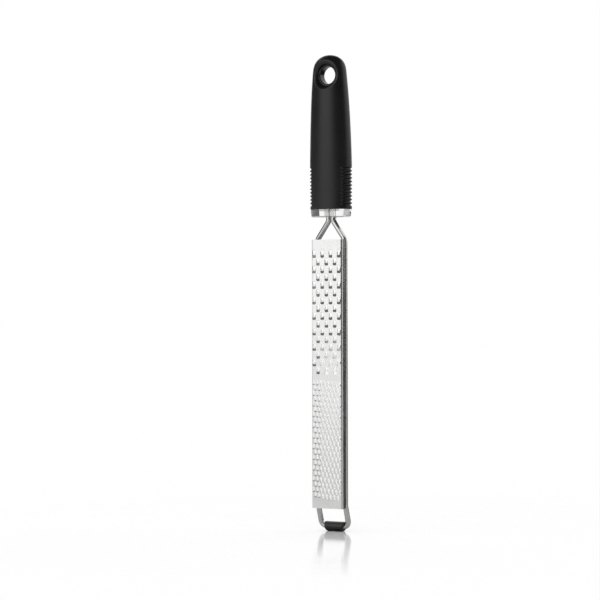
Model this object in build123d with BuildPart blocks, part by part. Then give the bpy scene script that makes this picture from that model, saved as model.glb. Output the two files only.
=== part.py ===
from build123d import *

import os
from math import radians, sqrt, tan

# A kitchen rasp with two cutting zones on a wire frame, standing on its foot.
# Millimetres, +Z up along the tool, the cutting face towards -Y, +X to the right.
# The origin lies on the floor under the handle's centre line.

# Wire frame
wire_diameter = 3.8
tang_gap = 0.1
tang_length = 62.0
tang_end_bevel = 0.6
neck_drop = 2.9
neck_angle = 35.5
neck_upper_radius = 5.0
neck_lower_radius = 6.0
kick_back = 4.9
kick_rise = 2.2
kick_radius = 8.0
foot_corner_radius = 4.4

# Blade
blade_width = 25.0
blade_length = 187.0
blade_lift = 16.5
sheet_thickness = 0.5
blade_bend_radius = 1.6
channel_depth = 6.7
rail_inset = 1.0
weld_gap = 0.02
flange_corner_radius = 2.2

# Coarse teeth
coarse_rows = 16
coarse_column_pitch = 6.7
coarse_row_pitch = 5.4
coarse_top_margin = 10.7
coarse_tooth_width = 2.9
coarse_tooth_height = 1.15
coarse_tooth_length = 3.3
coarse_tooth_wall = 0.35
coarse_mouth = 1.5

# Fine teeth
fine_rows = 22
fine_column_pitch = 3.05
fine_row_pitch = 3.72
fine_bottom_margin = 7.6
fine_row_slope = 4.0
fine_tooth_width = 1.5
fine_tooth_height = 0.6
fine_tooth_length = 1.7
fine_mouth = 0.85
fine_mouth_width = 1.5

# Collar
collar_height = 5.3
collar_taper = 1.2
collar_inset = 0.15
collar_edge_radius = 1.0
neck_length = 15.7
tang_clearance = 0.05

# Grip
grip_length = 107.5
grip_half_width = 15.75
grip_half_depth = 11.0
grip_bow = 1.4
grip_edge_bevel = 0.5
hole_drop = 14.2
hole_flare_radius = 9.3
fin_grooves = 11
fin_pitch = 2.5
fin_groove_width = 1.25
fin_groove_depth = 1.4
fin_half_span = 7.4
fin_base_margin = 3.1

# Handle core
core_half_width = 9.4
core_half_depth = 6.2
core_base_half_width = 12.6
core_base_half_depth = 8.4
core_base_height = 4.0
eyelet_radius = 6.0
eyelet_wall = 1.7
eyelet_half_length = 3.4
eyelet_edge_radius = 0.9
eyelet_neck_half_width = 5.2

# Foot sleeve
sleeve_wall = 1.5
sleeve_length = 16.4
sleeve_end_slope = 12.0
sleeve_edge_bevel = 0.5

# One overrun serves every cut
overrun = 1.0

# Levels up the tool, each one built on the piece below it
wire_radius = wire_diameter / 2
sleeve_radius = wire_radius + sleeve_wall
blade_top = blade_lift + blade_length
collar_base = blade_top + neck_length
grip_base = collar_base + collar_height
grip_top = grip_base + grip_length
hole_level = grip_top - hole_drop
half_blade = blade_width / 2
rail_offset = half_blade - sheet_thickness - rail_inset
tang_offset = (wire_diameter + tang_gap) / 2

# The grip's outline as shares of its length, half width, half depth and bow.
# Below the shoulder the sides swell gently; above it they close in a quarter ellipse.
body_height_shares = (0.0, 0.12, 0.30, 0.42, 0.54, 0.66, 0.78, 0.87)
body_width_shares = (0.992, 1.0, 1.0, 0.982, 0.955, 0.918, 0.868, 0.815)
body_bow_shares = (0.0, 0.0, 0.08, 0.20, 0.38, 0.60, 0.84, 1.0)
dome_start_share = 0.90
dome_width_share = 0.80
dome_crown_share = 0.10
dome_step_shares = (0.0, 0.30, 0.55, 0.75, 0.89, 0.97, 1.0)


def between(value, knots, results):
    """Straight-line interpolation in a table of rising knots."""
    for low, high, first, last in zip(knots, knots[1:], results, results[1:]):
        if value <= high:
            return first + (last - first) * (value - low) / (high - low)
    return results[-1]


def grip_section(height_share):
    """Half width, half depth and bow of the grip at a share of its length."""
    if height_share < dome_start_share:
        width_share = between(height_share, body_height_shares, body_width_shares)
    else:
        climb_share = (height_share - dome_start_share) / (1 - dome_start_share)
        width_share = max(dome_crown_share, dome_width_share * sqrt(1 - climb_share**2))
    bow = grip_bow * between(height_share, body_height_shares, body_bow_shares)
    return grip_half_width * width_share, grip_half_depth * width_share, -bow


# Wire frame: one round wire, from the tang end down the left side, across the foot
# and up the right side.
neck_top = collar_base - neck_drop
neck_bottom = neck_top - (rail_offset - tang_offset) / tan(radians(neck_angle))
kick_level = blade_lift + kick_rise
tang_top = collar_base + tang_length

left_side = [
    (-tang_offset, 0, tang_top),
    (-tang_offset, 0, neck_top),
    (-rail_offset, 0, neck_bottom),
    (-rail_offset, 0, kick_level),
    (-rail_offset, kick_back, sleeve_radius),
]
right_side = [(-x, y, z) for x, y, z in reversed(left_side)]
side_radii = [neck_upper_radius, neck_lower_radius, kick_radius, foot_corner_radius]

with BuildPart() as wire_frame:
    with BuildLine() as wire_path:
        FilletPolyline(*left_side, *right_side, radius=side_radii + side_radii[::-1])
    with BuildSketch(Plane(origin=left_side[0], z_dir=(0, 0, -1))):
        Circle(wire_radius)
    sweep(path=wire_path.wires()[0])
    tang_ends = wire_frame.faces().filter_by(Axis.Z).group_by(Axis.Z)[-1]
    chamfer(tang_ends.edges(), tang_end_bevel)


# Blade: a thin sheet bent to a shallow channel, whose flange edges sit on the rails.
# The face is cut by two zones of raised teeth.
face_level = -channel_depth
flange_depth = channel_depth - sqrt(wire_radius**2 - rail_inset**2) - weld_gap


def staggered_places(rows, columns, column_pitch, row_pitch, top_level, slope):
    """Places of teeth in rows that shift by half a pitch and lose one tooth in turn."""
    places = []
    for row in range(rows):
        in_row = columns - row % 2
        for column in range(in_row):
            x = (column - (in_row - 1) / 2) * column_pitch
            places.append((x, top_level - row * row_pitch - x * tan(radians(slope))))
    return places


tooth_reach = half_blade - blade_bend_radius
coarse_columns = int(2 * tooth_reach / coarse_column_pitch) + 1
fine_columns = int(2 * tooth_reach / fine_column_pitch) + 1
coarse_places = staggered_places(
    coarse_rows, coarse_columns, coarse_column_pitch, coarse_row_pitch,
    blade_top - coarse_top_margin, 0)
fine_top_level = blade_lift + fine_bottom_margin + (fine_rows - 1) * fine_row_pitch
fine_places = staggered_places(
    fine_rows, fine_columns, fine_column_pitch, fine_row_pitch,
    fine_top_level, fine_row_slope)

# The arch of a tooth at its lip, as shares of half the width and of the height
arch_x_shares = (-1.0, -0.62, 0.62, 1.0)
arch_y_shares = (0.0, 1.0, 1.0, 0.0)


def raised_tooth(width, height, length, sink):
    """A tooth that stands on the face: an arch cut off by a slope from lip to root."""
    corners = [(x * width / 2, -y * height) for x, y in zip(arch_x_shares, arch_y_shares)]
    with BuildPart() as tooth:
        with BuildSketch():
            with BuildLine():
                Polyline((-width / 2, sink), *corners, (width / 2, sink), close=True)
            make_face()
        extrude(amount=length)
        with BuildSketch(Plane.YZ):
            with BuildLine():
                Polyline(
                    (-height, 0), (0, length), (0, length + overrun),
                    (-height - overrun, length + overrun), (-height - overrun, 0),
                    close=True)
            make_face()
        extrude(amount=width, both=True, mode=Mode.SUBTRACT)
    return tooth.part


def mouth_cut(width, low, high):
    """The hole that a tooth opens on, through the sheet below and behind its lip."""
    with BuildPart() as mouth:
        with BuildSketch(Plane.XZ.offset(-sheet_thickness - overrun)):
            with Locations((0, (low + high) / 2)):
                Rectangle(width, high - low)
        extrude(amount=sheet_thickness + overrun)
    return mouth.part


hollow_share = 1 - coarse_tooth_wall / coarse_tooth_height
coarse_mouth_width = coarse_tooth_width - 2 * coarse_tooth_wall
coarse_tooth = raised_tooth(
    coarse_tooth_width, coarse_tooth_height, coarse_tooth_length, sheet_thickness / 2)
fine_tooth = raised_tooth(
    fine_tooth_width, fine_tooth_height, fine_tooth_length, sheet_thickness / 2)

with BuildPart() as coarse_punch:
    add(raised_tooth(
        coarse_mouth_width, coarse_tooth_height * hollow_share,
        coarse_tooth_length * hollow_share, sheet_thickness / 2))
    add(mouth_cut(coarse_mouth_width, -coarse_mouth, coarse_tooth_length * hollow_share))

fine_punch = mouth_cut(fine_mouth_width, -fine_mouth, 0)

with BuildPart() as blade:
    with BuildSketch(Plane.XY.offset(blade_lift)):
        with BuildLine():
            mid = half_blade - sheet_thickness / 2
            front = face_level + sheet_thickness / 2
            back = face_level + flange_depth
            FilletPolyline(
                (-mid, back), (-mid, front), (mid, front), (mid, back),
                radius=blade_bend_radius - sheet_thickness / 2)
        trace(line_width=sheet_thickness)
    extrude(amount=blade_length)
    lower_corners = blade.edges().filter_by(Axis.X).group_by(Axis.Z)[0].group_by(Axis.Y)[-1]
    fillet(lower_corners, flange_corner_radius)
    with Locations(*[(x, face_level, z) for x, z in coarse_places]):
        add(coarse_tooth)
    with Locations(*[(x, face_level, z) for x, z in fine_places]):
        add(fine_tooth)
    with Locations(*[(x, face_level, z) for x, z in coarse_places]):
        add(coarse_punch.part, mode=Mode.SUBTRACT)
    with Locations(*[(x, face_level, z) for x, z in fine_places]):
        add(fine_punch, mode=Mode.SUBTRACT)


# Foot sleeve: a rubber tube moulded on the wire's crossbar, a little longer on top.
with BuildPart() as foot_sleeve:
    with BuildSketch(Plane.YZ.offset(-sleeve_length / 2)):
        with Locations((kick_back, sleeve_radius)):
            Circle(sleeve_radius)
    extrude(amount=sleeve_length)
    with BuildSketch(Plane.XZ.offset(-kick_back)):
        with Locations((0, sleeve_radius)):
            Trapezoid(
                sleeve_length, 2 * sleeve_radius, 90 - sleeve_end_slope,
                rotation=180)
    extrude(amount=sleeve_radius, both=True, mode=Mode.INTERSECT)
    end_rims = foot_sleeve.faces().filter_by(GeomType.PLANE).edges()
    chamfer(end_rims, sleeve_edge_bevel)
    add(wire_frame.part, mode=Mode.SUBTRACT)


# Collar: a clear ring under the grip, with a slot through it for the two tangs.
# Its lower edge is rounded in three bands, given as shares of the edge's radius.
edge_rise_shares = (0.0, 0.13, 0.5, 1.0)
edge_inset_shares = (1.0, 0.5, 0.13, 0.0)
collar_top_width = grip_half_width * body_width_shares[0] - collar_inset
collar_top_depth = grip_half_depth * body_width_shares[0] - collar_inset


def tang_slot(height):
    """The slot that the two tangs stand in, from the collar's or the core's base up."""
    with BuildPart() as slot:
        with BuildSketch():
            SlotCenterToCenter(2 * tang_offset, wire_diameter + 2 * tang_clearance)
        extrude(amount=height)
    return slot.part


with BuildPart() as collar:
    for rise_share, inset_share in zip(edge_rise_shares, edge_inset_shares):
        rise = collar_edge_radius * rise_share
        taper = collar_taper * (1 - rise / collar_height) + collar_edge_radius * inset_share
        with BuildSketch(Plane.XY.offset(collar_base + rise)):
            Ellipse(collar_top_width - taper, collar_top_depth - taper)
    with BuildSketch(Plane.XY.offset(grip_base)):
        Ellipse(collar_top_width, collar_top_depth)
    loft(ruled=True)
    with Locations((0, 0, collar_base)):
        add(tang_slot(collar_height), mode=Mode.SUBTRACT)


# Handle core: a hard moulding inside the grip. It holds the tangs in a slot and ends
# in the eyelet of the hanging hole.
hole_share = (hole_level - grip_base) / grip_length
hole_bow = grip_section(hole_share)[2]
stem_top = hole_level - eyelet_radius - eyelet_wall / 2
stem_top_share = (stem_top - grip_base) / grip_length
hole_section = Plane((0, hole_bow, hole_level), x_dir=(0, 0, 1), z_dir=(1, 0, 0))
hole_axis = Axis((0, hole_bow, hole_level), (0, 1, 0))

core_slot = tang_slot(tang_top + tang_clearance - grip_base)

with BuildPart() as handle_core:
    for share, half_width, half_depth in (
        (0.0, core_half_width, core_half_depth),
        (stem_top_share / 2, core_half_width, core_half_depth),
        (stem_top_share, eyelet_neck_half_width, eyelet_half_length - eyelet_edge_radius),
    ):
        bow = grip_section(share)[2]
        with BuildSketch(Plane((0, bow, grip_base + share * grip_length))):
            Ellipse(half_width, half_depth)
    loft()
    with BuildSketch(Plane.XY.offset(grip_base)):
        Ellipse(core_base_half_width, core_base_half_depth)
    extrude(amount=core_base_height)
    with BuildSketch(hole_section) as eyelet_section:
        with Locations((eyelet_radius + eyelet_wall / 2, 0)):
            Rectangle(eyelet_wall, 2 * eyelet_half_length)
        fillet(eyelet_section.vertices().group_by(Axis.X)[0], eyelet_edge_radius)
    revolve(axis=hole_axis)
    with Locations((0, 0, grip_base)):
        add(core_slot, mode=Mode.SUBTRACT)


# Soft grip: rubber moulded over the core, with a dished hole and finned sides.
dome_height_shares = [
    dome_start_share + step * (1 - dome_start_share) for step in dome_step_shares]

with BuildPart() as soft_grip:
    for share in (*body_height_shares, *dome_height_shares):
        half_width, half_depth, bow = grip_section(share)
        with BuildSketch(Plane((0, bow, grip_base + share * grip_length))):
            Ellipse(half_width, half_depth)
    loft()
    chamfer(soft_grip.edges().group_by(Axis.Z)[0], grip_edge_bevel)
    for groove in range(fin_grooves):
        level = grip_base + fin_base_margin + groove * fin_pitch
        half_width, half_depth, bow = grip_section((level - grip_base) / grip_length)
        with BuildSketch(Plane((0, bow, level - fin_groove_width / 2))):
            Rectangle(2 * (half_width + overrun), 2 * fin_half_span)
            Ellipse(
                half_width - fin_groove_depth, half_depth - fin_groove_depth,
                mode=Mode.SUBTRACT)
        extrude(amount=fin_groove_width, mode=Mode.SUBTRACT)
    flare_start = eyelet_radius + eyelet_edge_radius
    flare_depth = grip_section(hole_share)[1]
    with BuildSketch(hole_section):
        with BuildLine():
            Line((0, 0), (flare_start, 0))
            Line((flare_start, 0), (flare_start, eyelet_half_length))
            TangentArc(
                (flare_start, eyelet_half_length), (hole_flare_radius, flare_depth),
                tangent=(0, 1))
            Line((hole_flare_radius, flare_depth), (hole_flare_radius, flare_depth + overrun))
            Line((hole_flare_radius, flare_depth + overrun), (0, flare_depth + overrun))
            Line((0, flare_depth + overrun), (0, 0))
        make_face()
        mirror(about=Plane.XZ)
    revolve(axis=hole_axis, mode=Mode.SUBTRACT)
    add(handle_core.part, mode=Mode.SUBTRACT)
    with Locations((0, 0, grip_base)):
        add(core_slot, mode=Mode.SUBTRACT)


print("coarse teeth", len(coarse_places), "fine teeth", len(fine_places))

os.makedirs("parts", exist_ok=True)
for node, name in (
    (soft_grip, "soft_grip"),
    (handle_core, "handle_core"),
    (collar, "collar"),
    (wire_frame, "wire_frame"),
    (blade, "blade"),
    (foot_sleeve, "foot_sleeve"),
):
    node.part.label = name
    export_step(node.part, f"parts/{name}.step")
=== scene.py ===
"""The look of a two-zone kitchen rasp: its surfaces, finishes, light and camera.

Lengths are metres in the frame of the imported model: +Z up along the tool, the cutting
face towards -Y, +X to the right, and the floor at zero. Each sub-assembly is a class
that holds its own sizes and works its surfaces out with numpy, as grids of two
parameters or as profiles carried along a path.
"""

from __future__ import annotations

import logging
import math
from dataclasses import dataclass, field
from enum import Enum

import bmesh
import bpy
import numpy as np
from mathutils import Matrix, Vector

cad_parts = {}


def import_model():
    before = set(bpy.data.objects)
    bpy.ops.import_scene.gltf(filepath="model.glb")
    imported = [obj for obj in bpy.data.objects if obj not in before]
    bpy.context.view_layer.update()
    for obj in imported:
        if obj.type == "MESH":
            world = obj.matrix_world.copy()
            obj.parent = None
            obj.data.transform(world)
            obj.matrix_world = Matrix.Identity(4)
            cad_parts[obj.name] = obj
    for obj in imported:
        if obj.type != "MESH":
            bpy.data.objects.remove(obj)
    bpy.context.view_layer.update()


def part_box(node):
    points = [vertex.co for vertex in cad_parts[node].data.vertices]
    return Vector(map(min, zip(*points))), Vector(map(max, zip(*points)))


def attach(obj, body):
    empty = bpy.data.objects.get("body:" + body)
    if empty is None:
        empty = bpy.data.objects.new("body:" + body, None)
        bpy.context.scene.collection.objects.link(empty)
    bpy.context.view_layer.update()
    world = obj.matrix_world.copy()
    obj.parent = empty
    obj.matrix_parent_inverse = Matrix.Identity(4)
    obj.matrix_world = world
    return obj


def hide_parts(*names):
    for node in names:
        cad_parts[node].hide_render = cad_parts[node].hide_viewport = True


MM = 0.001
BODY = "root"
WIRE_RADIUS = 1.9 * MM
WELD_REACH = 0.002 * MM
# Slack where two values that should be equal are compared.
HAIR = 1e-7
# Edges of stage sheets that turn by more degrees than this stay crisp.
STAGE_CREASE = 60.0
# Places of the two colours among the inputs of a Mix node.
MIX_COLOURS = (6, 7)

Pair = tuple[float, float]
Shade = tuple[float, float, float, float]

log = logging.getLogger("rasp")


class Coordinates(Enum):
    """Where a finish reads its pattern from."""

    OBJECT = "Object"
    ALONG = "UV"


class Ray(Enum):
    """Kinds of ray, each with the object's setting that lets it see the object."""

    CAMERA = "visible_camera"
    DIFFUSE = "visible_diffuse"
    MIRROR = "visible_glossy"
    REFRACTION = "visible_transmission"
    SHADOW = "visible_shadow"


def grid_quads(rows: int, columns: int, keep: np.ndarray | None = None) -> np.ndarray:
    """Corner numbers of the quads of a grid whose points are numbered row by row.

    Args:
        rows: Number of rows of points.
        columns: Number of points in a row.
        keep: Mask of the cells to keep, one row and one column smaller than the grid.

    Returns:
        An array of four corner numbers for each kept cell.
    """
    number = np.arange(rows * columns).reshape(rows, columns)
    quads = np.stack(
        [number[:-1, :-1], number[:-1, 1:], number[1:, 1:], number[1:, :-1]], axis=-1)
    return quads.reshape(-1, 4) if keep is None else quads[keep]


def full_turn(columns: int) -> np.ndarray:
    """Angles once round, with the first one again at the end."""
    return np.linspace(0, 2 * np.pi, columns + 1)


def quarter_turn(lines: int) -> np.ndarray:
    """Angles from 0 to a right angle."""
    return np.linspace(0, np.pi / 2, lines)


def smooth_step(value: np.ndarray) -> np.ndarray:
    """Rise from 0 to 1 with level ends: three times the square minus twice the cube."""
    held = np.clip(value, 0.0, 1.0)
    return held * held * (3.0 - 2.0 * held)


def smooth_table(at: np.ndarray, knots: tuple, values: tuple) -> np.ndarray:
    """Cubic curve through a table: at each knot its slope is the mean of the slopes beside it.

    Args:
        at: Where to read the curve.
        knots: Rising places of the table.
        values: The table's values at those places.

    Returns:
        The curve's value at each place asked for.
    """
    place, value = np.asarray(knots, float), np.asarray(values, float)
    step = np.diff(place)
    rise = np.diff(value) / step
    inner = (rise[:-1] * step[1:] + rise[1:] * step[:-1]) / (step[1:] + step[:-1])
    slope = np.concatenate([rise[:1], inner, rise[-1:]])
    k = np.clip(np.searchsorted(place, at, side="right") - 1, 0, len(step) - 1)
    t = (np.asarray(at) - place[k]) / step[k]
    start = (1 + 2 * t) * (1 - t) ** 2 * value[k] + t * (1 - t) ** 2 * step[k] * slope[k]
    end = t**2 * (3 - 2 * t) * value[k + 1] - t**2 * (1 - t) * step[k] * slope[k + 1]
    return start + end


@dataclass
class Skin:
    """Collects grids of points and makes them one closed mesh."""

    name: str
    points: list[np.ndarray] = field(default_factory=list)
    quads: list[np.ndarray] = field(default_factory=list)
    maps: list[np.ndarray] = field(default_factory=list)
    finishes: list[np.ndarray] = field(default_factory=list)
    count: int = 0

    def add(self, points: np.ndarray, quads: np.ndarray, along: np.ndarray | None = None,
            finish: int = 0) -> None:
        """Add points and the quads that join them.

        Args:
            points: Array of points, with its last axis x, y and z.
            quads: Corner numbers into those points.
            along: Map coordinates of the points, for a pattern that follows the surface.
            finish: Number of the material slot of these quads.
        """
        flat = points.reshape(-1, 3)
        plain = np.zeros((len(flat), 2)) if along is None else along.reshape(-1, 2)
        self.points.append(flat)
        self.maps.append(plain)
        self.quads.append(quads + self.count)
        self.finishes.append(np.full(len(quads), finish))
        self.count += len(flat)

    def add_grid(self, grid: np.ndarray, along: np.ndarray | None = None) -> None:
        """Add a whole grid of rows and columns of points."""
        self.add(grid, grid_quads(grid.shape[0], grid.shape[1]), along)

    def build(self, finishes: list[bpy.types.Material], sharp_degrees: float) -> bpy.types.Object:
        """Make the mesh, close its seams and poles, and turn its faces outwards.

        Args:
            finishes: Materials, in the order of the slots' numbers.
            sharp_degrees: Edges that turn by more than this stay crisp.

        Returns:
            The finished object, at the origin.
        """
        mesh = bpy.data.meshes.new(self.name)
        corners = np.concatenate(self.quads)
        mesh.from_pydata(np.concatenate(self.points).tolist(), [], corners.tolist())
        layer = mesh.uv_layers.new(name="along")
        layer.data.foreach_set("uv", np.concatenate(self.maps)[corners.ravel()].ravel())
        mesh.polygons.foreach_set("material_index", np.concatenate(self.finishes))
        shape = bmesh.new()
        shape.from_mesh(mesh)
        bmesh.ops.remove_doubles(shape, verts=shape.verts, dist=WELD_REACH)
        bmesh.ops.dissolve_degenerate(shape, edges=shape.edges, dist=WELD_REACH)
        loose = [vertex for vertex in shape.verts if not vertex.link_faces]
        bmesh.ops.delete(shape, geom=loose, context="VERTS")
        bmesh.ops.recalc_face_normals(shape, faces=shape.faces)
        shape.to_mesh(mesh)
        shape.free()
        mesh.polygons.foreach_set("use_smooth", np.ones(len(mesh.polygons), bool))
        mesh.set_sharp_from_angle(angle=math.radians(sharp_degrees))
        for finish in finishes:
            mesh.materials.append(finish)
        mesh.update()
        piece = bpy.data.objects.new(self.name, mesh)
        bpy.context.scene.collection.objects.link(piece)
        return piece


def settle(piece: bpy.types.Object, node: str) -> bpy.types.Object:
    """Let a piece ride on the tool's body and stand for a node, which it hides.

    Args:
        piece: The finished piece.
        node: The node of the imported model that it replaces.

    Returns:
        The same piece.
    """
    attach(piece, BODY)
    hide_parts(node)
    log.info("%s: %d faces", piece.name, len(piece.data.polygons))
    return piece


def stage_sheet(name: str, grid: np.ndarray, material: bpy.types.Material,
                rays: tuple[Ray, ...]) -> bpy.types.Object:
    """Make a sheet that isn't part of the tool, seen by some kinds of ray only.

    Args:
        name: The sheet's name.
        grid: Its points.
        material: Its material.
        rays: The kinds of ray that see it.

    Returns:
        The sheet.
    """
    skin = Skin(name)
    skin.add_grid(grid)
    sheet = skin.build([material], STAGE_CREASE)
    for ray in Ray:
        setattr(sheet, ray.value, ray in rays)
    return sheet


# Shader graphs


def scaled(shade: Shade, share: float) -> Shade:
    """Scale a colour's three parts by a share, at full opacity."""
    return tuple(share * part for part in shade[:3]) + (1.0,)


@dataclass
class Graph:
    """Adds nodes to a material's tree or a group's tree, and links them."""

    tree: bpy.types.NodeTree

    def add(self, kind: str, **inputs: object) -> bpy.types.Node:
        """Add a node and feed its inputs by name, with spaces written as underscores.

        Args:
            kind: The node's type.
            inputs: A socket or a plain value for each input named.

        Returns:
            The node.
        """
        node = self.tree.nodes.new(kind)
        for name, value in inputs.items():
            self.feed(node.inputs[name.replace("_", " ")], value)
        return node

    def feed(self, socket: bpy.types.NodeSocket, value: object) -> None:
        """Link a socket to another one, or give it a plain value.

        Args:
            socket: The input to feed.
            value: An output to link to it, or a value.
        """
        if isinstance(value, bpy.types.NodeSocket):
            self.tree.links.new(value, socket)
        else:
            socket.default_value = value

    def wired(self, kind: str, *values: object, **settings: object) -> bpy.types.Node:
        """Add a node with settings of its own, and feed its inputs in their order.

        Args:
            kind: The node's type.
            values: A socket or a plain value for each of its first inputs.
            settings: The node's own settings, such as its operation.

        Returns:
            The node.
        """
        node = self.tree.nodes.new(kind)
        for name, value in settings.items():
            setattr(node, name, value)
        for socket, value in zip(node.inputs, values):
            self.feed(socket, value)
        return node

    def math(self, operation: str, first: object, second: object = 0.0) -> bpy.types.NodeSocket:
        """Add a Math node and return its result."""
        return self.wired("ShaderNodeMath", first, second, operation=operation).outputs[0]

    def vector_math(self, operation: str, *values: object) -> bpy.types.Node:
        """Add a Vector Math node, which gives its result as a vector or as a value."""
        return self.wired("ShaderNodeVectorMath", *values, operation=operation)

    def blend(self, share: object, first: object, second: object) -> bpy.types.NodeSocket:
        """Mix two shaders by a share and return the result."""
        return self.wired("ShaderNodeMixShader", share, first, second).outputs[0]

    def surface(self, shader: bpy.types.NodeSocket) -> None:
        """Link a shader to the material's surface."""
        self.feed(self.tree.nodes["Material Output"].inputs["Surface"], shader)

    def span(self, value: object, low: float, high: float, to_low: float = 0.0,
             to_high: float = 1.0) -> bpy.types.NodeSocket:
        """Carry a value from one range to another, held at its ends.

        Args:
            value: The value to carry.
            low: Start of its range.
            high: End of its range.
            to_low: What the range's start becomes.
            to_high: What the range's end becomes.

        Returns:
            The carried value.
        """
        node = self.add("ShaderNodeMapRange", Value=value, From_Min=low, From_Max=high,
                        To_Min=to_low, To_Max=to_high)
        return node.outputs["Result"]

    def mix(self, share: object, first: object, second: object) -> bpy.types.NodeSocket:
        """Mix two colours by a share.

        Args:
            share: Share of the second colour.
            first: The first colour.
            second: The second colour.

        Returns:
            The mixed colour.
        """
        node = self.wired("ShaderNodeMix", share, data_type="RGBA")
        for place, colour in zip(MIX_COLOURS, (first, second)):
            self.feed(node.inputs[place], colour)
        return node.outputs[2]

    def noise(self, vector: bpy.types.NodeSocket, scale: object, detail: float = 2.0,
              roughness: float = 0.5) -> bpy.types.NodeSocket:
        """Add a noise texture.

        Args:
            vector: Its coordinates.
            scale: How often it changes in a metre, roughly.
            detail: How many finer layers it has.
            roughness: How strong they are.

        Returns:
            The noise, from 0 to 1.
        """
        node = self.add("ShaderNodeTexNoise", Vector=vector, Scale=scale, Detail=detail,
                        Roughness=roughness)
        return node.outputs[0]


def new_material(name: str) -> tuple[bpy.types.Material, Graph]:
    """Make a material with nodes.

    Args:
        name: The material's name.

    Returns:
        The material and the graph that adds to it.
    """
    material = bpy.data.materials.new(name)
    material.use_nodes = True
    return material, Graph(material.node_tree)


def new_group(name: str, inputs: dict[str, object],
              outputs: tuple[str, ...]) -> tuple[Graph, bpy.types.Node, bpy.types.Node]:
    """Make a shader node group with named inputs and outputs.

    Args:
        name: The group's name.
        inputs: Name and default of each input. A default of None makes a vector input.
        outputs: Names of the value outputs.

    Returns:
        The group's graph, its input node and its output node.
    """
    tree = bpy.data.node_groups.new(name, "ShaderNodeTree")
    for title, default in inputs.items():
        kind = "NodeSocketVector" if default is None else "NodeSocketFloat"
        socket = tree.interface.new_socket(name=title, in_out="INPUT", socket_type=kind)
        if default is not None:
            socket.default_value = default
    for title in outputs:
        tree.interface.new_socket(name=title, in_out="OUTPUT", socket_type="NodeSocketFloat")
    start = tree.nodes.new("NodeGroupInput")
    end = tree.nodes.new("NodeGroupOutput")
    return Graph(tree), start, end


@dataclass
class Effects:
    """The effects that more than one finish shares, each one a node group built once."""

    grain: bpy.types.NodeTree = field(init=False)
    handling: bpy.types.NodeTree = field(init=False)
    streaks: bpy.types.NodeTree = field(init=False)
    smudge_range: Pair = (0.35, 0.75)
    scuff_range: Pair = (0.5, 0.62)
    scuff_scale: float = 7.0
    scuff_width: float = 0.012
    band_scales: Pair = (0.07, 0.2)

    def __post_init__(self) -> None:
        """Build the groups."""
        self.grain = self.build_grain()
        self.handling = self.build_handling()
        self.streaks = self.build_streaks()

    @staticmethod
    def build_grain() -> bpy.types.NodeTree:
        """Moulded or blasted grain: fine noise for height and a slower one for its patches.

        Returns:
            The group's tree.
        """
        graph, start, end = new_group(
            "fine_grain", {"Vector": None, "Scale": 2500.0, "Patch Scale": 60.0},
            ("Height", "Patches"))
        fine = graph.noise(start.outputs["Vector"], start.outputs["Scale"],
                           detail=3.0, roughness=0.6)
        slow = graph.noise(start.outputs["Vector"], start.outputs["Patch Scale"])
        graph.feed(end.inputs["Height"], fine)
        graph.feed(end.inputs["Patches"], slow)
        return graph.tree

    def build_handling(self) -> bpy.types.NodeTree:
        """Marks of handling: soft smudges, and thin scuffs where a noise crosses its middle.

        Returns:
            The group's tree.
        """
        graph, start, end = new_group(
            "handling_marks", {"Vector": None, "Scale": 40.0, "Amount": 1.0},
            ("Smudges", "Scuffs"))
        smudge = graph.noise(start.outputs["Vector"], start.outputs["Scale"],
                             detail=4.0, roughness=0.55)
        fine_scale = graph.math("MULTIPLY", start.outputs["Scale"], self.scuff_scale)
        crossing = graph.noise(start.outputs["Vector"], fine_scale, detail=1.0)
        distance = graph.math("ABSOLUTE", graph.math("SUBTRACT", crossing, 0.5))
        thin = graph.span(distance, 0.0, self.scuff_width, 1.0, 0.0)
        gated = graph.math("MULTIPLY", thin, graph.span(smudge, *self.scuff_range))
        soft = graph.span(smudge, *self.smudge_range)
        graph.feed(end.inputs["Smudges"],
                   graph.math("MULTIPLY", soft, start.outputs["Amount"]))
        graph.feed(end.inputs["Scuffs"],
                   graph.math("MULTIPLY", gated, start.outputs["Amount"]))
        return graph.tree

    def build_streaks(self) -> bpy.types.NodeTree:
        """Lines of drawing or rolling: noise drawn out along the vector's second axis.

        Returns:
            The group's tree.
        """
        graph, start, end = new_group(
            "drawn_streaks", {"Vector": None, "Across": 6000.0, "Along": 30.0},
            ("Lines", "Bands"))
        parts = graph.add("ShaderNodeSeparateXYZ", Vector=start.outputs["Vector"])
        across = graph.math("MULTIPLY", parts.outputs[0], start.outputs["Across"])
        along = graph.math("MULTIPLY", parts.outputs[1], start.outputs["Along"])
        fine = graph.add("ShaderNodeCombineXYZ", X=across, Y=along)
        wide = graph.add("ShaderNodeCombineXYZ",
                         X=graph.math("MULTIPLY", across, self.band_scales[0]),
                         Y=graph.math("MULTIPLY", along, self.band_scales[1]))
        graph.feed(end.inputs["Lines"],
                   graph.noise(fine.outputs[0], 1.0, detail=3.0, roughness=0.65))
        graph.feed(end.inputs["Bands"], graph.noise(wide.outputs[0], 1.0))
        return graph.tree


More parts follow.
